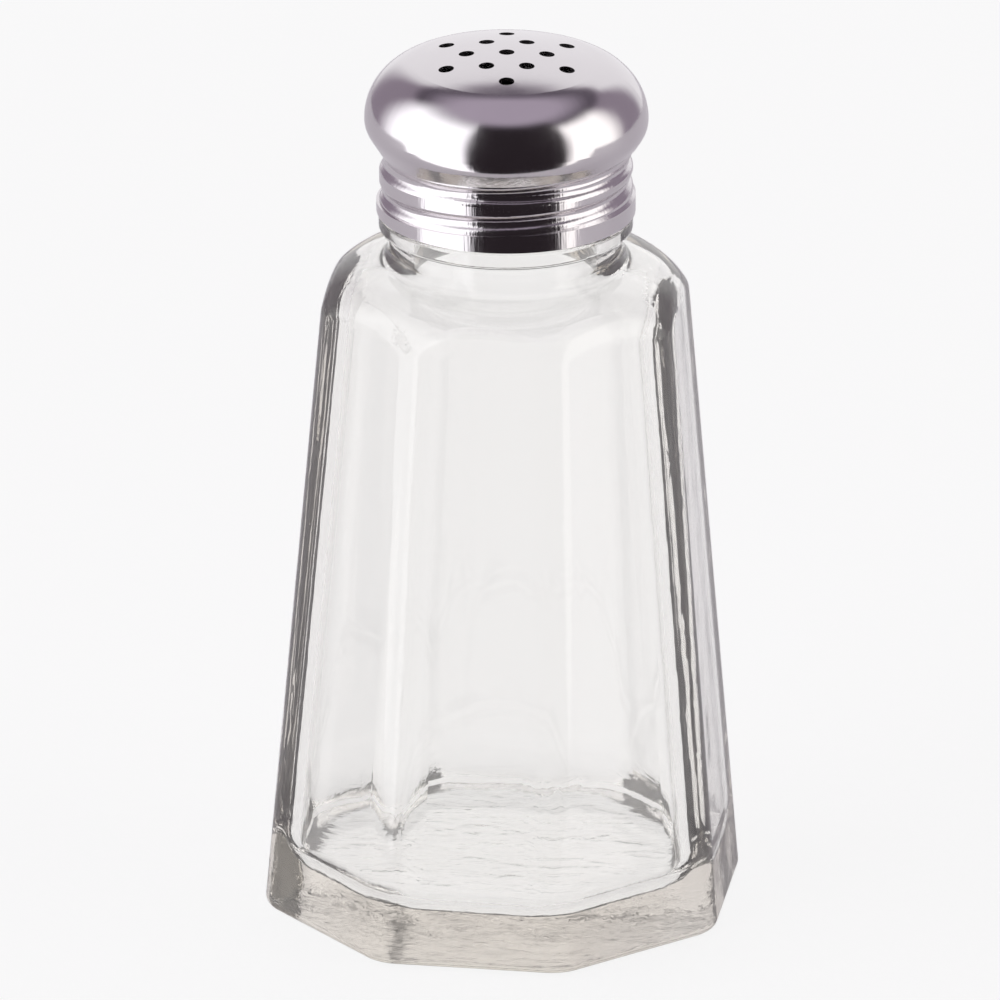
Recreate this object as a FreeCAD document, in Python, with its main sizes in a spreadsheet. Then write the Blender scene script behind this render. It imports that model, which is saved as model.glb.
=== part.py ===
import FreeCAD, Part

import math
import os

import Sketcher
from FreeCAD import Vector

# A clear glass shaker with eight tapering panels and a perforated steel cap that
# screws on to its neck. The origin is the middle of the flat base, and +Z is up.

SIZES = {
    # glass jar, outside
    "base_flats": (49.0, "width across the panels, carried down to the base"),
    "shoulder_flats": (38.3, "width across the panels where the shoulder starts"),
    "shoulder_start": (64.2, "height at which the shoulder starts"),
    "shoulder_round": (8.0, "radius of the shoulder, seen from the side"),
    "panel_corner": (5.0, "rounding between two panels"),
    "base_round": (1.1, "rounding along the foot of the panels"),
    "shoulder_blend": (3.0, "rounding where the panels run into the shoulder"),
    "neck_radius": (12.4, "neck under the bead"),
    "neck_fillet": (1.5, "hollow rounding from neck to shoulder"),
    "bead_radius": (13.5, "ring that the cap comes down to"),
    "bead_top": (77.5, "height of the ring's upper face"),
    "bead_depth": (2.0, "ring's height from face to face"),
    "bead_round": (0.5, "rounding of the ring's edges"),
    "finish_radius": (11.75, "threaded part of the neck, between the threads"),
    "rim_top": (87.5, "height of the pouring rim"),
    "rim_round": (0.8, "rounding of the rim, outside and inside"),
    # glass jar, inside
    "floor_thickness": (4.5, "glass under the hollow"),
    "wall_thickness": (3.6, "glass in the middle of a panel"),
    "hollow_corner": (7.0, "rounding between the hollow's sides"),
    "floor_round": (3.5, "rounding along the hollow's floor"),
    "hollow_blend": (2.0, "rounding where the hollow's sides run into its shoulder"),
    "bore_radius": (9.7, "inside of the neck"),
    "bore_round": (3.0, "rounding from bore to inner shoulder"),
    "bore_foot": (72.2, "height at which that rounding starts"),
    # screw thread
    "thread_pitch": (3.175, "rise in one turn, eight turns to the inch"),
    "thread_crest": (12.35, "outer radius of the thread on the glass"),
    "thread_bulge": (0.9, "radius of the glass thread's rounded section"),
    "thread_turns": (1.5, "turns of thread on the glass"),
    "thread_angle": (98.0, "direction from the axis in which both threads start"),
    "groove_start": (1.46, "height in the cap of the rolled groove's lower end"),
    "groove_turns": (1.8, "turns of the rolled groove"),
    "groove_hollow": (0.7, "radius along the bottom of the rolled groove"),
    "groove_shoulder": (0.9, "radius along both edges of the rolled groove"),
    # steel cap
    "sheet": (0.4, "thickness of the steel"),
    "seat_gap": (0.1, "play between the cap's edge and the glass ring"),
    "band_radius": (13.75, "plain band at the cap's lower edge"),
    "band_height": (1.9, "height of the plain band"),
    "band_slope": (0.4, "height over which the band draws in to the skirt"),
    "skirt_radius": (13.45, "skirt between the turns of the groove"),
    "valley_radius": (12.95, "bottom of the groove, and the cap's waist"),
    "waist_height": (5.95, "height of the waist in the cap"),
    "waist_round": (0.6, "hollow rounding of the waist"),
    "skirt_crest": (0.7, "rounding from the waist to the skirt"),
    "dome_radius": (15.05, "widest part of the dome"),
    "dome_waist": (10.25, "height in the cap of the dome's widest part"),
    "dome_under": (2.8, "rounding under the dome's widest part"),
    "dome_crown": (45.0, "radius of the dome's flat crown"),
    "cap_height": (17.6, "height of the cap, edge to crown"),
    # pouring holes
    "hole_diameter": (1.65, "each pouring hole"),
    "hole_pitch": (4.25, "distance from a hole to the next one"),
    "hole_turn": (8.2, "angle from the panels to the rows of holes"),
}

SIDES = 8
HALF_SIDE_ANGLE = 180.0 / SIDES
HOLES_IN_A_RING = 6
POINTS_PER_TURN = 16
FADE_TURNS = 0.2
BITE = 0.02
PAST = 1.0
ARC_SHORT = 5.0
CONE_LEAN = 30.0

PANEL_TAPER = "atan((Sizes.base_flats - Sizes.shoulder_flats) / 2 / Sizes.shoulder_start)"
FLOOR_FLATS = f"Sizes.base_flats - 2 * Sizes.wall_thickness - 2 * Sizes.floor_thickness * tan({PANEL_TAPER})"
SHOULDER_REACH = f"Sizes.shoulder_flats / 2 / cos({HALF_SIDE_ANGLE})"
CORNER_FACTOR = 1 / math.cos(math.radians(HALF_SIDE_ANGLE))

doc = FreeCAD.newDocument("spice_shaker")
sizes = doc.addObject("Spreadsheet::Sheet", "Sizes")
for row, (alias, (value, meaning)) in enumerate(SIZES.items(), start=1):
    sizes.set(f"A{row}", meaning)
    sizes.set(f"B{row}", str(value))
    sizes.setAlias(f"B{row}", alias)
doc.recompute()


def size(alias):
    """One driving dimension, in millimetres or degrees."""
    return float(getattr(sizes, alias))


def origin_plane(body, role):
    """One of the body's own origin planes."""
    return next(part for part in body.Origin.OriginFeatures if part.Role == role)


class Outline:
    """A closed outline of lines and arcs, with each of its sizes tied to the sheet."""

    START, END, CENTRE = 1, 2, 3

    def __init__(self, body, name, role="XZ_Plane"):
        self.sketch = body.newObject("Sketcher::SketchObject", name)
        self.sketch.AttachmentSupport = [(origin_plane(body, role), "")]
        self.sketch.MapMode = "FlatFace"

    def bind(self, kind, *targets, to):
        """Add a sized constraint and tie it to an expression."""
        value = float(self.sketch.evalExpression(to))
        index = self.sketch.addConstraint(Sketcher.Constraint(kind, *targets, value))
        self.sketch.setExpression(f"Constraints[{index}]", to)

    def line(self, start, end):
        return self.sketch.addGeometry(Part.LineSegment(Vector(*start), Vector(*end)))

    def arc(self, centre, radius, first, last):
        """An arc that runs counter-clockwise between two angles, given in degrees."""
        circle = Part.Circle(Vector(*centre), Vector(0, 0, 1), radius)
        return self.sketch.addGeometry(
            Part.ArcOfCircle(circle, math.radians(first), math.radians(last)))

    def chain(self, *ends):
        """Join each piece's far end to the next piece's near end, smoothly where the flag says so."""
        following = ends[1:] + ends[:1]
        for (piece, _, far, smooth), (after, near, _, _) in zip(ends, following):
            kind = "Tangent" if smooth else "Coincident"
            self.sketch.addConstraint(Sketcher.Constraint(kind, piece, far, after, near))

    def level(self, *lines):
        for line in lines:
            self.sketch.addConstraint(Sketcher.Constraint("Horizontal", line))

    def upright(self, *lines):
        for line in lines:
            self.sketch.addConstraint(Sketcher.Constraint("Vertical", line))

    def out(self, piece, end, to):
        """Distance of a point from the axis."""
        self.bind("DistanceX", -1, 1, piece, end, to=to)

    def up(self, piece, end, to):
        """Height of a point over the outline's origin."""
        self.bind("DistanceY", -1, 1, piece, end, to=to)

    def on_axis(self, piece, end):
        self.sketch.addConstraint(Sketcher.Constraint("PointOnObject", piece, end, -2))

    def on_base(self, piece, end):
        self.sketch.addConstraint(Sketcher.Constraint("PointOnObject", piece, end, -1))

    def radius(self, piece, to):
        self.bind("Radius", piece, to=to)


def set_sizes(item, **bindings):
    """Tie an object's properties to expressions."""
    for name, expression in bindings.items():
        item.setExpression(name.replace("__", "."), expression)


def octagon_bar(body, name, flats, low, high):
    """A tapering bar with eight sides, one of which faces -Y, between two heights."""
    outline = Outline(body, name + "_outline", "XY_Plane")
    sketch = outline.sketch
    corner = size("base_flats") / 2 / math.cos(math.radians(HALF_SIDE_ANGLE))
    angles = [math.radians(HALF_SIDE_ANGLE * (2 * step - SIDES / 2 - 1)) for step in range(SIDES)]
    points = [(corner * math.cos(angle), corner * math.sin(angle)) for angle in angles]
    sides = [outline.line(points[step], points[(step + 1) % SIDES]) for step in range(SIDES)]
    outline.chain(*[(side, Outline.START, Outline.END, False) for side in sides])
    rim = sketch.addGeometry(Part.Circle(Vector(0, 0), Vector(0, 0, 1), corner), True)
    sketch.addConstraint(Sketcher.Constraint("Coincident", rim, Outline.CENTRE, -1, 1))
    outline.radius(rim, f"({flats}) / 2 / cos({HALF_SIDE_ANGLE})")
    for side in sides:
        sketch.addConstraint(Sketcher.Constraint("PointOnObject", side, Outline.START, rim))
    for side in sides[1:]:
        sketch.addConstraint(Sketcher.Constraint("Equal", sides[0], side))
    outline.level(sides[0])
    sketch.setExpression("AttachmentOffset.Base.z", low)
    bar = body.newObject("PartDesign::Pad", name)
    bar.Profile = sketch
    set_sizes(bar, Length=f"({high}) - ({low})", TaperAngle=f"-1 * {PANEL_TAPER}")
    doc.recompute()
    return bar


def edges_where(feature, wanted):
    """Names of the feature's edges that pass a test."""
    return [f"Edge{index}" for index, edge in enumerate(feature.Shape.Edges, start=1)
            if wanted(edge.BoundBox)]


def round_off(body, name, feature, wanted, radius):
    """Round the edges that pass a test."""
    fillet = body.newObject("PartDesign::Fillet", name)
    fillet.Base = (feature, edges_where(feature, wanted))
    set_sizes(fillet, Radius=radius)
    doc.recompute()
    return fillet


def turn(body, name, outline, kind):
    """Turn an outline once round the Z axis, as material or as a cut."""
    feature = body.newObject(kind, name)
    feature.Profile = outline.sketch
    feature.ReferenceAxis = (outline.sketch, ["V_Axis"])
    feature.Angle = 360
    doc.recompute()
    return feature


def combine(kind, name, base, tool, lift="0"):
    """A boolean of two objects of the document, stood at a height."""
    result = doc.addObject(kind, name)
    result.Base = base
    result.Tool = tool
    set_sizes(result, Placement__Base__z=lift)
    doc.recompute()
    return result


def neck_cut(body):
    """Everything outside the round shoulder, the ring and the threaded neck."""
    far = size("base_flats")
    start = size("shoulder_start")
    bend = size("shoulder_round")
    reach = size("shoulder_flats") / 2 * CORNER_FACTOR
    neck = size("neck_radius")
    hollow = size("neck_fillet")
    ring = size("bead_radius")
    ring_round = size("bead_round")
    ring_top = size("bead_top")
    ring_low = ring_top - size("bead_depth")
    finish = size("finish_radius")
    rim = size("rim_top")
    lip = size("rim_round")
    crown = start + bend
    outline = Outline(body, "neck_outline")
    lip_arc = outline.arc((finish - lip, rim - lip), lip, 0, 90)
    wall = outline.line((finish, rim - lip), (finish, ring_top))
    ring_face = outline.line((finish, ring_top), (ring - ring_round, ring_top))
    ring_edge = outline.arc((ring - ring_round, ring_top - ring_round), ring_round, 0, 90)
    ring_side = outline.line((ring, ring_top - ring_round), (ring, ring_low + ring_round))
    ring_foot = outline.arc((ring - ring_round, ring_low + ring_round), ring_round, 270, 360)
    ring_under = outline.line((ring - ring_round, ring_low), (neck, ring_low))
    neck_side = outline.line((neck, ring_low), (neck, crown + hollow))
    neck_hollow = outline.arc((neck + hollow, crown + hollow), hollow, 180, 270 - ARC_SHORT)
    shoulder = outline.arc((reach - bend, start), bend, 0, 90 - ARC_SHORT)
    ledge = outline.line((reach, start), (far, start))
    outside = outline.line((far, start), (far, rim + PAST))
    over = outline.line((far, rim + PAST), (finish - lip, rim + PAST))
    drop = outline.line((finish - lip, rim + PAST), (finish - lip, rim))
    s, e = Outline.START, Outline.END
    outline.chain(
        (lip_arc, e, s, True), (wall, s, e, False), (ring_face, s, e, True),
        (ring_edge, e, s, True), (ring_side, s, e, True), (ring_foot, e, s, True),
        (ring_under, s, e, False), (neck_side, s, e, True), (neck_hollow, s, e, True),
        (shoulder, e, s, False), (ledge, s, e, False), (outside, s, e, False),
        (over, s, e, False), (drop, s, e, False))
    outline.level(ring_face, ring_under, ledge, over)
    outline.upright(wall, ring_side, neck_side, outside, drop)
    outline.radius(lip_arc, "Sizes.rim_round")
    outline.radius(ring_edge, "Sizes.bead_round")
    outline.radius(ring_foot, "Sizes.bead_round")
    outline.radius(neck_hollow, "Sizes.neck_fillet")
    outline.radius(shoulder, "Sizes.shoulder_round")
    outline.up(lip_arc, e, "Sizes.rim_top")
    outline.out(lip_arc, e, "Sizes.finish_radius - Sizes.rim_round")
    outline.up(ring_face, s, "Sizes.bead_top")
    outline.out(ring_side, s, "Sizes.bead_radius")
    outline.up(ring_under, s, "Sizes.bead_top - Sizes.bead_depth")
    outline.out(neck_side, s, "Sizes.neck_radius")
    outline.out(shoulder, s, SHOULDER_REACH)
    outline.up(shoulder, s, "Sizes.shoulder_start")
    outline.up(shoulder, Outline.CENTRE, "Sizes.shoulder_start")
    outline.out(outside, s, "Sizes.base_flats")
    outline.up(outside, e, f"Sizes.rim_top + {PAST}")
    return turn(body, "neck_cut", outline, "PartDesign::Groove")


def hollow_cut(body):
    """Everything outside the inner shoulder and the bore."""
    far = size("base_flats")
    start = size("shoulder_start")
    wall = size("wall_thickness")
    bend = size("shoulder_round") - wall
    reach = size("shoulder_flats") / 2 * CORNER_FACTOR - wall
    bore = size("bore_radius")
    blend = size("bore_round")
    rim = size("rim_top")
    lip = size("rim_round")
    crown = start + bend
    outline = Outline(body, "bore_outline")
    flare = outline.arc((bore + lip, rim - lip), lip, 90, 180)
    bore_side = outline.line((bore, rim - lip), (bore, crown + blend))
    bore_foot = outline.arc((bore + blend, crown + blend), blend, 180, 270 - ARC_SHORT)
    ceiling = outline.line((bore + blend, crown), (reach - bend, crown))
    shoulder = outline.arc((reach - bend, start), bend, 0, 90 - ARC_SHORT)
    ledge = outline.line((reach, start), (far, start))
    outside = outline.line((far, start), (far, rim + 2 * PAST))
    over = outline.line((far, rim + 2 * PAST), (bore + lip, rim + 2 * PAST))
    drop = outline.line((bore + lip, rim + 2 * PAST), (bore + lip, rim))
    s, e = Outline.START, Outline.END
    outline.chain(
        (flare, s, e, True), (bore_side, s, e, True), (bore_foot, s, e, True),
        (ceiling, s, e, True), (shoulder, e, s, False), (ledge, s, e, False),
        (outside, s, e, False), (over, s, e, False), (drop, s, e, False))
    outline.level(ledge, over)
    outline.upright(bore_side, outside, drop)
    outline.radius(flare, "Sizes.rim_round")
    outline.radius(bore_foot, "Sizes.bore_round")
    outline.radius(shoulder, "Sizes.shoulder_round - Sizes.wall_thickness")
    outline.up(flare, s, "Sizes.rim_top")
    outline.out(flare, s, "Sizes.bore_radius + Sizes.rim_round")
    outline.out(bore_side, s, "Sizes.bore_radius")
    outline.up(bore_foot, Outline.CENTRE, "Sizes.bore_foot")
    outline.out(shoulder, s, SHOULDER_REACH + " - Sizes.wall_thickness")
    outline.up(shoulder, s, "Sizes.shoulder_start")
    outline.up(shoulder, Outline.CENTRE, "Sizes.shoulder_start")
    outline.out(outside, s, "Sizes.base_flats")
    outline.up(outside, e, f"Sizes.rim_top + {2 * PAST}")
    return turn(body, "bore_cut", outline, "PartDesign::Groove")


def cap_solid(body, inset, drop):
    """The cap's turned form, drawn in by a number of sheet thicknesses and run on below its edge."""
    foot = -drop
    thin = inset * size("sheet")
    skin = f" - {inset} * Sizes.sheet"
    fill = f" + {inset} * Sizes.sheet"
    band = size("band_radius") - thin
    band_top = size("band_height")
    skirt = size("skirt_radius") - thin
    waist = size("valley_radius") + size("waist_round")
    waist_up = size("waist_height")
    hollow = size("waist_round") + thin
    crest = size("skirt_crest") - thin
    crest_in = size("skirt_radius") - size("skirt_crest")
    crest_up = waist_up - math.sqrt(
        (size("waist_round") + size("skirt_crest")) ** 2 - (waist - crest_in) ** 2)
    under = size("dome_under") - thin
    under_in = size("dome_radius") - size("dome_under")
    wide_up = size("dome_waist")
    crown = size("dome_crown") - thin
    crown_up = size("cap_height") - size("dome_crown")
    top = size("cap_height") - thin
    rise = size("dome_waist") - crown_up
    knuckle = (size("dome_crown") ** 2 - size("dome_radius") ** 2 - rise ** 2) / (
        2 * (size("dome_crown") - size("dome_radius")))
    lean = math.degrees(math.atan2(rise, size("dome_radius") - knuckle))
    outline = Outline(body, "cap_outline")
    edge = outline.line((0, foot), (band, foot))
    band_side = outline.line((band, foot), (band, band_top))
    slope = outline.line((band, band_top), (skirt, band_top + size("band_slope")))
    skirt_side = outline.line((skirt, band_top + size("band_slope")), (skirt, crest_up))
    tip = math.degrees(math.atan2(waist_up - crest_up, waist - crest_in))
    skirt_arc = outline.arc((crest_in, crest_up), crest, 0, tip)
    waist_arc = outline.arc((waist, waist_up), hollow, 180 - CONE_LEAN, 180 + tip)
    lean_out = math.cos(math.radians(CONE_LEAN))
    lean_up = math.sin(math.radians(CONE_LEAN))
    cone = outline.line(
        (waist - hollow * lean_out, waist_up + hollow * lean_up),
        (under_in + under * lean_out, wide_up - under * lean_up))
    under_arc = outline.arc((under_in, wide_up), under, 360 - CONE_LEAN, 360)
    knuckle_arc = outline.arc((size("dome_radius") - knuckle, wide_up), knuckle - thin, 0, lean)
    crown_arc = outline.arc((0, crown_up), crown, lean, 90)
    axis = outline.line((0, top), (0, foot))
    s, e, c = Outline.START, Outline.END, Outline.CENTRE
    outline.chain(
        (edge, s, e, False), (band_side, s, e, False), (slope, s, e, False),
        (skirt_side, s, e, True), (skirt_arc, s, e, True), (waist_arc, e, s, True),
        (cone, s, e, True), (under_arc, s, e, True), (knuckle_arc, s, e, True),
        (crown_arc, s, e, False), (axis, s, e, False))
    outline.level(edge)
    outline.upright(band_side, skirt_side, axis)
    outline.out(band_side, s, "Sizes.band_radius" + skin)
    if drop:
        outline.up(band_side, s, f"-1 * {drop}")
    else:
        outline.on_base(band_side, s)
    outline.up(slope, s, "Sizes.band_height")
    outline.out(skirt_side, s, "Sizes.skirt_radius" + skin)
    outline.up(skirt_side, s, "Sizes.band_height + Sizes.band_slope")
    outline.radius(skirt_arc, "Sizes.skirt_crest" + skin)
    outline.radius(waist_arc, "Sizes.waist_round" + fill)
    outline.out(waist_arc, c, "Sizes.valley_radius + Sizes.waist_round")
    outline.up(waist_arc, c, "Sizes.waist_height")
    outline.radius(under_arc, "Sizes.dome_under" + skin)
    outline.out(under_arc, c, "Sizes.dome_radius - Sizes.dome_under")
    outline.up(under_arc, c, "Sizes.dome_waist")
    outline.up(under_arc, e, "Sizes.dome_waist")
    outline.radius(crown_arc, "Sizes.dome_crown" + skin)
    outline.on_axis(crown_arc, c)
    outline.on_axis(crown_arc, e)
    outline.up(crown_arc, e, "Sizes.cap_height" + skin)
    return turn(body, "cap_form", outline, "PartDesign::Revolution")


def pierce(body, name, reach, turned, copies):
    """Pouring holes through the dome, evenly spaced on a circle round the axis."""
    outline = Outline(body, name + "_outline", "XY_Plane")
    sketch = outline.sketch
    far = float(sketch.evalExpression(reach))
    angle = math.radians(size("hole_turn") + turned)
    middle = Vector(far * math.cos(angle), far * math.sin(angle))
    hole = sketch.addGeometry(Part.Circle(middle, Vector(0, 0, 1), size("hole_diameter") / 2))
    outline.bind("Diameter", hole, to="Sizes.hole_diameter")
    if far:
        turn_by = f"Sizes.hole_turn + {turned}"
        outline.out(hole, Outline.CENTRE, f"({reach}) * cos({turn_by})")
        outline.up(hole, Outline.CENTRE, f"({reach}) * sin({turn_by})")
    else:
        sketch.addConstraint(Sketcher.Constraint("Coincident", hole, Outline.CENTRE, -1, 1))
    drilled = body.newObject("PartDesign::Pocket", name)
    drilled.Profile = sketch
    drilled.Type = "ThroughAll"
    drilled.Reversed = True
    doc.recompute()
    if copies > 1:
        pattern = body.newObject("PartDesign::PolarPattern", name + "_ring")
        pattern.Originals = [drilled]
        pattern.Axis = (sketch, ["N_Axis"])
        pattern.Angle = 360
        pattern.Occurrences = copies
        body.Tip = pattern
        doc.recompute()


def helix_path(radius, start, turns, slip):
    """A right-hand helix that moves sideways by slip at both ends, to let its section run out."""
    points = []
    steps = round(turns * POINTS_PER_TURN)
    for step in range(steps + 1):
        turned = turns * step / steps
        to_end = min(turned, turns - turned)
        fade = 0.5 + 0.5 * math.cos(math.pi * min(to_end / FADE_TURNS, 1.0))
        angle = math.radians(size("thread_angle")) + 2 * math.pi * turned
        reach = radius + slip * fade
        height = start + size("thread_pitch") * turned
        points.append(Vector(reach * math.cos(angle), reach * math.sin(angle), height))
    curve = Part.BSplineCurve()
    curve.interpolate(points)
    return curve.toShape()


def swept(section, path):
    """A closed section carried along a path with its height kept upright."""
    pipe = Part.BRepOffsetAPI.MakePipeShell(Part.Wire(path))
    pipe.setBiNormalMode(Vector(0, 0, 1))
    pipe.add(section, False, False)
    pipe.build()
    pipe.makeSolid()
    return pipe.shape()


def at_start(section, start):
    """Stand a section, drawn on the XZ plane, at the thread's starting angle and height."""
    section.rotate(Vector(), Vector(0, 0, 1), size("thread_angle"))
    section.translate(Vector(0, 0, start))
    return section


def rolled_groove(name, inset):
    """The groove rolled into the cap: a hollow between two rounded shoulders, less some sheets."""
    skin = inset * size("sheet")
    slip = size("skirt_radius") - size("valley_radius") + 2 * BITE
    hollow_in = size("valley_radius") + size("groove_hollow") + slip
    side_in = size("skirt_radius") + BITE - size("groove_shoulder") + slip
    across = hollow_in - side_in
    apart = math.sqrt((size("groove_hollow") + size("groove_shoulder")) ** 2 - across ** 2)
    tip = math.atan2(apart, across)
    shoulder = size("groove_shoulder") - skin
    far = hollow_in + size("groove_shoulder") + size("groove_hollow")

    def on_side(angle, sign):
        return Vector(side_in + shoulder * math.cos(angle), 0,
                      sign * (apart - shoulder * math.sin(angle)))

    low, high = on_side(0, -1), on_side(0, 1)
    bottom = Vector(hollow_in - size("groove_hollow") - skin, 0, 0)
    edges = [
        Part.Arc(low, on_side(tip / 2, -1), on_side(tip, -1)).toShape(),
        Part.Arc(on_side(tip, -1), bottom, on_side(tip, 1)).toShape(),
        Part.Arc(on_side(tip, 1), on_side(tip / 2, 1), high).toShape(),
        Part.makeLine(high, Vector(far, 0, high.z)),
        Part.makeLine(Vector(far, 0, high.z), Vector(far, 0, low.z)),
        Part.makeLine(Vector(far, 0, low.z), low),
    ]
    groove = doc.addObject("Part::Feature", name)
    start = size("groove_start")
    path = helix_path(hollow_in - slip, start, size("groove_turns"), slip)
    groove.Shape = swept(at_start(Part.Wire(edges), start), path)
    return groove


def glass_thread(name):
    """The raised thread on the neck, half a pitch over the groove that runs under it."""
    bulge = size("thread_bulge")
    slip = size("finish_radius") - size("thread_crest") - BITE
    reach = size("thread_crest") - bulge
    start = size("bead_top") + size("seat_gap") + size("groove_start") + size("thread_pitch") / 2
    ring = Part.makeCircle(bulge, Vector(reach + slip, 0, 0), Vector(0, 1, 0))
    thread = doc.addObject("Part::Feature", name)
    path = helix_path(reach, start, size("thread_turns"), slip)
    thread.Shape = swept(at_start(Part.Wire(ring), start), path)
    return thread


def build_jar():
    """The jar: the outside with its thread, less the hollow and the bore."""
    outside = doc.addObject("PartDesign::Body", "jar_outside")
    bar = octagon_bar(outside, "panels", "Sizes.base_flats", "0", "Sizes.rim_top")
    bar = round_off(outside, "panel_corners", bar, lambda box: box.ZLength > PAST,
                    "Sizes.panel_corner")
    round_off(outside, "foot_round", bar, lambda box: box.ZMax < PAST, "Sizes.base_round")
    shape = neck_cut(outside)
    crown = size("shoulder_start") + size("shoulder_round")
    round_off(outside, "panel_tops", shape,
              lambda box: crown / 2 < box.ZMin and box.ZMax < crown - PAST, "Sizes.shoulder_blend")

    hollow = doc.addObject("PartDesign::Body", "jar_hollow")
    core = octagon_bar(hollow, "core", FLOOR_FLATS, "Sizes.floor_thickness",
                       f"Sizes.rim_top + {PAST}")
    core = round_off(hollow, "core_corners", core, lambda box: box.ZLength > PAST,
                     "Sizes.hollow_corner")
    round_off(hollow, "floor_edge", core, lambda box: box.ZMax < size("floor_thickness") + PAST,
              "Sizes.floor_round")
    shape = hollow_cut(hollow)
    ceiling = size("shoulder_start") + size("shoulder_round") - size("wall_thickness")
    round_off(hollow, "core_tops", shape,
              lambda box: crown / 2 < box.ZMin and box.ZMax < ceiling - PAST / 2, "Sizes.hollow_blend")

    threaded = combine("Part::Fuse", "jar_threaded", outside, glass_thread("neck_thread"))
    return combine("Part::Cut", "glass_jar", threaded, hollow)


def build_cap():
    """The cap: one sheet of steel, domed, pierced, and rolled into a groove at the skirt."""
    outside = doc.addObject("PartDesign::Body", "cap_outside")
    cap_solid(outside, 0, 0)
    pierce(outside, "middle_hole", "0", 0, 1)
    pierce(outside, "inner_holes", "Sizes.hole_pitch", 0, HOLES_IN_A_RING)
    pierce(outside, "outer_holes", "Sizes.hole_pitch * sqrt(3)", 180 / HOLES_IN_A_RING,
           HOLES_IN_A_RING)

    hollow = doc.addObject("PartDesign::Body", "cap_hollow")
    cap_solid(hollow, 1, PAST)

    skin = combine("Part::Cut", "cap_skin", outside, rolled_groove("cap_groove", 0))
    core = combine("Part::Cut", "cap_core", hollow, rolled_groove("cap_ridge", 1))
    return combine("Part::Cut", "cap", skin, core, "Sizes.bead_top + Sizes.seat_gap")


def faults(pieces):
    """Objects that failed to build, and pieces that are not one sound solid."""
    failed = [item.Label for item in doc.Objects
              if any(word in item.State for word in ("Invalid", "Error"))]
    unsound = [piece.Label for piece in pieces
               if piece.Shape.isNull() or not piece.Shape.isValid() or len(piece.Shape.Solids) != 1]
    return failed + unsound


pieces = [build_jar(), build_cap()]
found = faults(pieces)
if found:
    raise RuntimeError("not built: " + ", ".join(found))
os.makedirs("parts", exist_ok=True)
for piece in pieces:
    piece.Shape.Solids[0].exportStep(f"parts/{piece.Label}.step")
    print(piece.Label, round(piece.Shape.Volume, 1), "mm3")
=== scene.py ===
import math

import bpy
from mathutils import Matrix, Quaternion, Vector

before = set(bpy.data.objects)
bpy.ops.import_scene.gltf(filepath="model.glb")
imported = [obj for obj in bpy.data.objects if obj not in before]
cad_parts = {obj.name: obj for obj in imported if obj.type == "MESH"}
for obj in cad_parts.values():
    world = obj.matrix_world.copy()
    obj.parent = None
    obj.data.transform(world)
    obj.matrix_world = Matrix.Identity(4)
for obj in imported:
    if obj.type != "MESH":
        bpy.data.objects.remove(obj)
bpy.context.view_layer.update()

MM = 0.001

# The shaker is seen from 21 degrees above, from far off, a little to the right
# of the panel that faces -Y. It leans by a quarter of a degree in the picture.
CAMERA_TURN = math.radians(8.2)
CAMERA_RISE = math.radians(21.3)
CAMERA_LEAN = math.radians(0.28)
CAMERA_DISTANCE = 2.0
AIM_HEIGHT = 0.0444
LENS_PER_METRE = 337.6
AXIS_OFFSET = 0.0045

# The draw marks on the steel are full up to the first height and gone above the second.
DOME_MARKS_START = 85.0 * MM
DOME_MARKS_END = 88.5 * MM

# Edges of the light and dark areas around the shaker, each a soft change between two
# angles: bearings from the camera's side, to the right, and rises over the horizon.
CEILING_RISE = (45, 68)
SIDE_WALL_RISE = (46, 39)
SWEEP_RIGHT = (134, 151)
SWEEP_LEFT = (-148, -168)
SWEEP_TOP = (42, 38)
GAP_LEFT = (-37, -29)
GAP_RIGHT = (56, 47)
GAP_TOP = (63, 47)
LEFT_BOX_OUTER = (-130, -96)
LEFT_BOX_INNER = (-29, -37)
LEFT_BOX_TOP = (66, 36)
RIGHT_BOX_INNER = (47, 57)
RIGHT_BOX_OUTER = (114, 90)
RIGHT_BOX_TOP = (52, 34)
LEFT_BOX_LIGHT = [1.7, 1.7, 1.74, 1.0]
RIGHT_BOX_LIGHT = [1.6, 1.58, 1.54, 1.0]
PLAIN_WHITE = [1.0, 1.0, 1.0, 1.0]

# How much plain white replaces the surroundings seen through glass, and the table's shading.
WHITE_THROUGH_GLASS = 0.8
TABLE_WHITE_SHARE = 0.86

# The table's and the floor's half widths, the table's front edge, and their drops below the base.
TABLE_HALF = 0.6
TABLE_FRONT = -0.07
TABLE_DROP = 0.2 * MM
FLOOR_HALF = 6.0
FLOOR_DROP = 0.6 * MM

# Glass: the alpha lightens the dark zones of trapped light, and the chill marks fade up the base.
GLASS_IOR = 1.52
GLASS_ALPHA = 0.95
GLASS_DENSITY = 15.0
CHILL_TOP = 9 * MM
CHILL_FULL = 5 * MM
CHILL_SHARE = 1.6

# Faces that look inward by more than this, or down by more than that, are the cap's inside.
INWARD = -0.05
DOWNWARD = -0.9


def place_camera():
    """A long lens, as in a catalogue picture, aimed at the middle of the shaker."""
    lens = bpy.data.cameras.new("catalogue_lens")
    lens.sensor_width = 36.0
    lens.lens = LENS_PER_METRE * CAMERA_DISTANCE
    lens.shift_x = -AXIS_OFFSET
    lens.clip_end = 20.0
    camera = bpy.data.objects.new("catalogue_camera", lens)
    bpy.context.scene.collection.objects.link(camera)
    aim = Vector((0.0, 0.0, AIM_HEIGHT))
    away = Vector((
        math.sin(CAMERA_TURN) * math.cos(CAMERA_RISE),
        -math.cos(CAMERA_TURN) * math.cos(CAMERA_RISE),
        math.sin(CAMERA_RISE)))
    camera.location = aim + away * CAMERA_DISTANCE
    level = (aim - camera.location).to_track_quat("-Z", "Y")
    camera.rotation_euler = (level @ Quaternion((0, 0, 1), CAMERA_LEAN)).to_euler()
    bpy.context.scene.camera = camera


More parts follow.
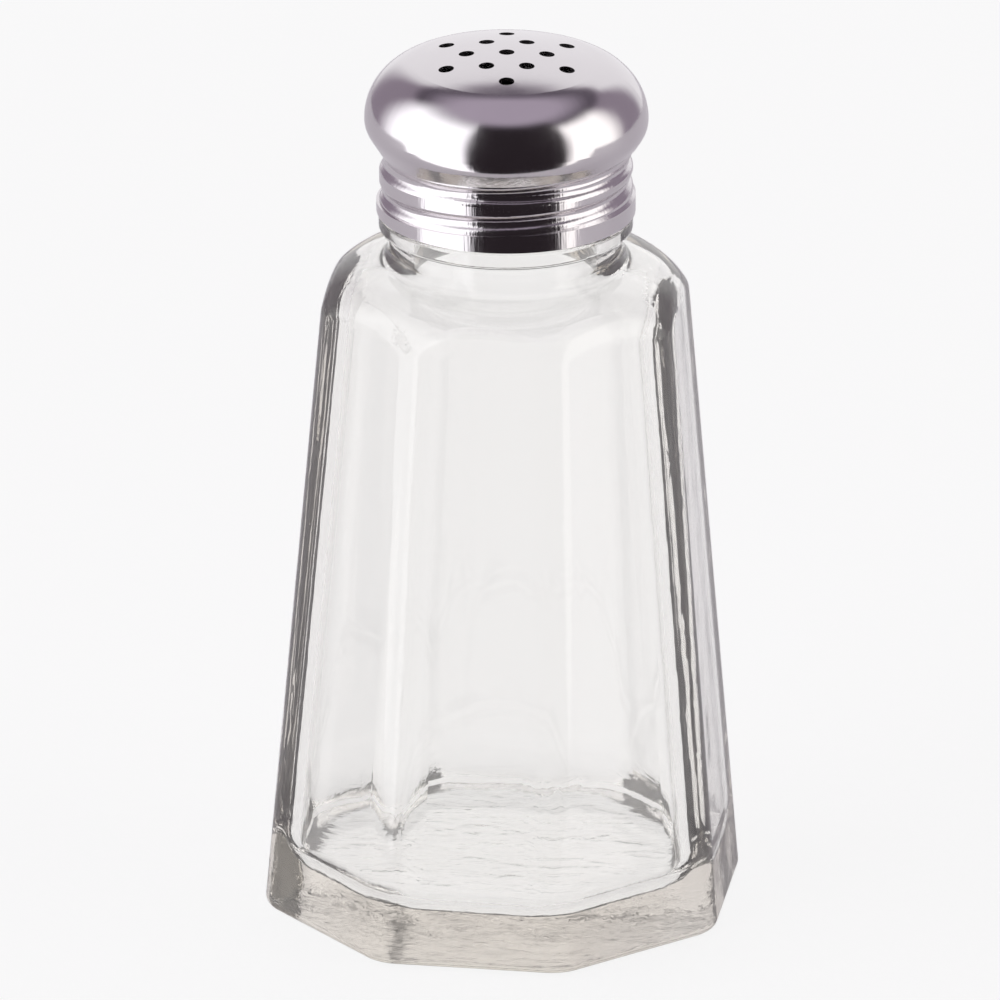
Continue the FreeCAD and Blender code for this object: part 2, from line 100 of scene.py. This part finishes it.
def colour(hex_value):
    """An sRGB hex value as the linear colour that shaders use."""
    channels = [int(hex_value[index:index + 2], 16) / 255 for index in (1, 3, 5)]
    return [channel / 12.92 if channel <= 0.04045 else ((channel + 0.055) / 1.055) ** 2.4
            for channel in channels] + [1.0]


def add(tree, kind, inputs=None, **settings):
    """Add a node: settings by name, inputs as values or as the socket that feeds them."""
    node = tree.nodes.new(kind)
    for name, value in settings.items():
        setattr(node, name, value)
    for key, value in (inputs or {}).items():
        if isinstance(value, bpy.types.NodeSocket):
            tree.links.new(value, node.inputs[key])
        else:
            node.inputs[key].default_value = value
    return node


def new_material(name):
    """An empty node material with its output."""
    material = bpy.data.materials.new(name)
    material.use_nodes = True
    material.node_tree.nodes.clear()
    output = material.node_tree.nodes.new("ShaderNodeOutputMaterial")
    return material, material.node_tree, output


def mix(tree, mask, below, above):
    """One colour laid over another through a mask."""
    return add(tree, "ShaderNodeMix", {0: mask, 6: below, 7: above},
               data_type="RGBA").outputs[2]


def arithmetic(tree, operation, first, second=0.0):
    return add(tree, "ShaderNodeMath", {0: first, 1: second}, operation=operation).outputs[0]


def ramp(tree, value, start, end, low=0.0, high=1.0):
    """low before start and high after end, with a soft change between them."""
    return add(tree, "ShaderNodeMapRange", {0: value, 1: start, 2: end, 3: low, 4: high},
               interpolation_type="SMOOTHSTEP").outputs[0]


def studio_world():
    """A white sweep behind, a large softbox on each side, and the dark room between them."""
    world = bpy.data.worlds.new("studio")
    bpy.context.scene.world = world
    world.use_nodes = True
    tree = world.node_tree
    tree.nodes.clear()
    output = tree.nodes.new("ShaderNodeOutputWorld")
    direction = add(tree, "ShaderNodeTexCoord").outputs["Generated"]
    turned = add(tree, "ShaderNodeVectorRotate", {"Vector": direction, "Angle": -CAMERA_TURN},
                 rotation_type="Z_AXIS").outputs[0]
    axes = add(tree, "ShaderNodeSeparateXYZ", {0: turned})
    minus_y = arithmetic(tree, "MULTIPLY", axes.outputs[1], -1.0)
    quarter = arithmetic(tree, "ARCTAN2", axes.outputs[0], minus_y)
    bearing = arithmetic(tree, "MULTIPLY", quarter, 180 / math.pi)
    rise = arithmetic(tree, "MULTIPLY", arithmetic(tree, "ARCSINE", axes.outputs[2]), 180 / math.pi)

    def times(*masks):
        product = masks[0]
        for mask in masks[1:]:
            product = arithmetic(tree, "MULTIPLY", product, mask)
        return product

    # The room: a mauve ceiling, a dark ring of wall under it, and dim sides.
    sky = mix(tree, ramp(tree, rise, *CEILING_RISE), colour("#5e5661"), colour("#b9aebd"))
    sky = mix(tree, ramp(tree, rise, *SIDE_WALL_RISE), sky, colour("#998e9b"))
    # The white sweep, from the back of the table up to the wall.
    sweep = arithmetic(tree, "MAXIMUM", ramp(tree, bearing, *SWEEP_RIGHT),
                       ramp(tree, bearing, *SWEEP_LEFT))
    sky = mix(tree, times(sweep, ramp(tree, rise, *SWEEP_TOP)), sky, colour("#fefdff"))
    # The dark gap in front, where the camera stands.
    gap = times(ramp(tree, bearing, *GAP_LEFT), ramp(tree, bearing, *GAP_RIGHT),
                ramp(tree, rise, *GAP_TOP))
    sky = mix(tree, gap, sky, colour("#2c262a"))
    # The two softboxes.
    left = times(ramp(tree, bearing, *LEFT_BOX_OUTER), ramp(tree, bearing, *LEFT_BOX_INNER),
                 ramp(tree, rise, *LEFT_BOX_TOP))
    sky = mix(tree, left, sky, LEFT_BOX_LIGHT)
    right = times(ramp(tree, bearing, *RIGHT_BOX_INNER), ramp(tree, bearing, *RIGHT_BOX_OUTER),
                  ramp(tree, rise, *RIGHT_BOX_TOP))
    sky = mix(tree, right, sky, RIGHT_BOX_LIGHT)
    # The camera sees plain white, and so, for the most part, does whatever is seen through glass.
    light = add(tree, "ShaderNodeLightPath")
    through = arithmetic(tree, "MULTIPLY", light.outputs["Is Transmission Ray"],
                         WHITE_THROUGH_GLASS)
    seen = arithmetic(tree, "MAXIMUM", light.outputs["Is Camera Ray"], through)
    shown = mix(tree, seen, sky, PLAIN_WHITE)
    background = add(tree, "ShaderNodeBackground", {"Color": shown, "Strength": 1.0})
    tree.links.new(background.outputs[0], output.inputs[0])


def white_laminate():
    """White laminate: an even matt white, whose shine is spread too wide to see."""
    material, tree, output = new_material("white_laminate")
    grain = add(tree, "ShaderNodeTexNoise", {"Scale": 300.0, "Detail": 4.0})
    tint = mix(tree, grain.outputs[0], colour("#ffffff"), colour("#fbfbfb"))
    matt = add(tree, "ShaderNodeBsdfPrincipled", {"Base Color": tint, "Roughness": 0.6})
    white = add(tree, "ShaderNodeEmission", {"Color": PLAIN_WHITE, "Strength": 1.0})
    light = add(tree, "ShaderNodeLightPath")
    seen = arithmetic(tree, "MAXIMUM", light.outputs["Is Camera Ray"],
                      light.outputs["Is Transmission Ray"])
    share = arithmetic(tree, "MULTIPLY", seen, TABLE_WHITE_SHARE)
    both = add(tree, "ShaderNodeMixShader", {0: share, 1: matt.outputs[0], 2: white.outputs[0]})
    tree.links.new(both.outputs[0], output.inputs[0])
    return material


def lay_floor(name, material, left, right, front, back, drop):
    """A flat rectangle of table or floor, a little below the shaker's base."""
    mesh = bpy.data.meshes.new(name)
    mesh.from_pydata([(left, front, 0), (right, front, 0), (right, back, 0), (left, back, 0)],
                     [], [(0, 1, 2, 3)])
    mesh.materials.append(material)
    surface = bpy.data.objects.new(name, mesh)
    bpy.context.scene.collection.objects.link(surface)
    surface.location.z = -drop
    return surface


def pale_floor():
    """A white table under the shaker, on a wide floor that the steel doesn't mirror."""
    laminate = white_laminate()
    lay_floor("table_top", laminate, -TABLE_HALF, TABLE_HALF, TABLE_FRONT, TABLE_HALF, TABLE_DROP)
    around = lay_floor("floor_around", laminate, -FLOOR_HALF, FLOOR_HALF, -FLOOR_HALF, FLOOR_HALF,
                       FLOOR_DROP)
    around.visible_glossy = False


def clear_pressed_glass():
    """Pressed soda-lime glass: clear, with a faint warm grey where it is thick."""
    material, tree, output = new_material("clear_pressed_glass")
    place = add(tree, "ShaderNodeTexCoord").outputs["Object"]
    height = add(tree, "ShaderNodeSeparateXYZ", {0: place}).outputs[2]
    # Slow waves from the mould, about 10 mm long.
    waves = add(tree, "ShaderNodeTexNoise", {"Vector": place, "Scale": 100.0, "Detail": 2.0})
    # Chill marks in the thick base: folds some 6 mm long and 2 mm wide.
    drawn_out = add(tree, "ShaderNodeMapping", {"Vector": place, "Scale": (170.0, 450.0, 400.0)})
    streaks = add(tree, "ShaderNodeTexNoise",
                  {"Vector": drawn_out.outputs[0], "Scale": 1.0, "Detail": 3.0, "Distortion": 0.6})
    in_base = ramp(tree, height, CHILL_TOP, CHILL_FULL)
    chill = arithmetic(tree, "MULTIPLY", streaks.outputs[0], in_base)
    relief = arithmetic(tree, "ADD", waves.outputs[0],
                        arithmetic(tree, "MULTIPLY", chill, CHILL_SHARE))
    bump = add(tree, "ShaderNodeBump", {"Strength": 0.25, "Distance": 0.25 * MM, "Height": relief})
    glass = add(tree, "ShaderNodeBsdfPrincipled", {
        "Base Color": colour("#ffffff"), "Roughness": 0.0, "IOR": GLASS_IOR,
        "Transmission Weight": 1.0, "Alpha": GLASS_ALPHA, "Normal": bump.outputs[0]})
    body = add(tree, "ShaderNodeVolumeAbsorption",
               {"Color": colour("#cfc1aa"), "Density": GLASS_DENSITY})
    tree.links.new(glass.outputs[0], output.inputs["Surface"])
    tree.links.new(body.outputs[0], output.inputs["Volume"])
    return material


def satin_stainless_steel():
    """Drawn stainless steel sheet, wiped to a satin shine: a cool grey with soft reflections."""
    material, tree, output = new_material("satin_stainless_steel")
    place = add(tree, "ShaderNodeTexCoord").outputs["Object"]
    cloud = add(tree, "ShaderNodeTexNoise", {"Vector": place, "Scale": 160.0, "Detail": 5.0})
    # Draw marks run up the skirt, some 0.3 mm apart and several millimetres long, and fade on the dome.
    drawn = add(tree, "ShaderNodeMapping", {"Vector": place, "Scale": (3000.0, 3000.0, 250.0)})
    marks = add(tree, "ShaderNodeTexNoise", {"Vector": drawn.outputs[0], "Scale": 1.0, "Detail": 2.0})
    height = add(tree, "ShaderNodeSeparateXYZ", {0: place}).outputs[2]
    on_skirt = ramp(tree, height, DOME_MARKS_END, DOME_MARKS_START)
    depth = arithmetic(tree, "MULTIPLY", marks.outputs[0], on_skirt)
    shade = mix(tree, cloud.outputs[0], colour("#d5d0d3"), colour("#dfdbdd"))
    shine = arithmetic(tree, "ADD", ramp(tree, cloud.outputs[0], 0.3, 0.7, 0.10, 0.15),
                       arithmetic(tree, "MULTIPLY", marks.outputs[0], 0.05))
    bump = add(tree, "ShaderNodeBump", {"Strength": 0.6, "Distance": 0.03 * MM, "Height": depth})
    steel = add(tree, "ShaderNodeBsdfPrincipled", {
        "Base Color": shade, "Metallic": 1.0, "Roughness": shine, "Normal": bump.outputs[0]})
    tree.links.new(steel.outputs[0], output.inputs["Surface"])
    return material


def rough_steel_painted_shade():
    """The sheet as it came from the rolls, unpolished inside the cap, with painted shade darkening it
    to a dim grey behind the holes.
    """
    material, tree, output = new_material("rough_steel_painted_shade")
    place = add(tree, "ShaderNodeTexCoord").outputs["Object"]
    cloud = add(tree, "ShaderNodeTexNoise", {"Vector": place, "Scale": 500.0, "Detail": 4.0})
    # Painted shade: this dark grey base colour stands in for the shade that falls inside the cap.
    shade = mix(tree, cloud.outputs[0], colour("#4a4649"), colour("#5c585b"))
    shine = ramp(tree, cloud.outputs[0], 0.3, 0.7, 0.45, 0.6)
    bump = add(tree, "ShaderNodeBump",
               {"Strength": 0.4, "Distance": 0.02 * MM, "Height": cloud.outputs[0]})
    steel = add(tree, "ShaderNodeBsdfPrincipled", {
        "Base Color": shade, "Metallic": 1.0, "Roughness": shine, "Normal": bump.outputs[0]})
    tree.links.new(steel.outputs[0], output.inputs["Surface"])
    return material


def finish_node(name, *materials, slot_of=lambda face: 0):
    """Give a CAD node its materials, each face by the slot that slot_of names."""
    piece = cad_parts[name]
    piece.data.materials.clear()
    for material in materials:
        piece.data.materials.append(material)
    for face in piece.data.polygons:
        face.material_index = slot_of(face)


def inner_side(face):
    """1 for the faces inside the cap, which look to its axis or straight down, and 0 for the others."""
    outward = Vector((face.center.x, face.center.y, 0.0)).normalized()
    return 1 if face.normal.dot(outward) < INWARD or face.normal.z < DOWNWARD else 0


bpy.context.scene.view_settings.view_transform = "Standard"
place_camera()
studio_world()
pale_floor()
finish_node("glass_jar", clear_pressed_glass())
# The cap's inner faces get the rougher steel with painted shade in its colour.
finish_node("cap", satin_stainless_steel(), rough_steel_painted_shade(), slot_of=inner_side)
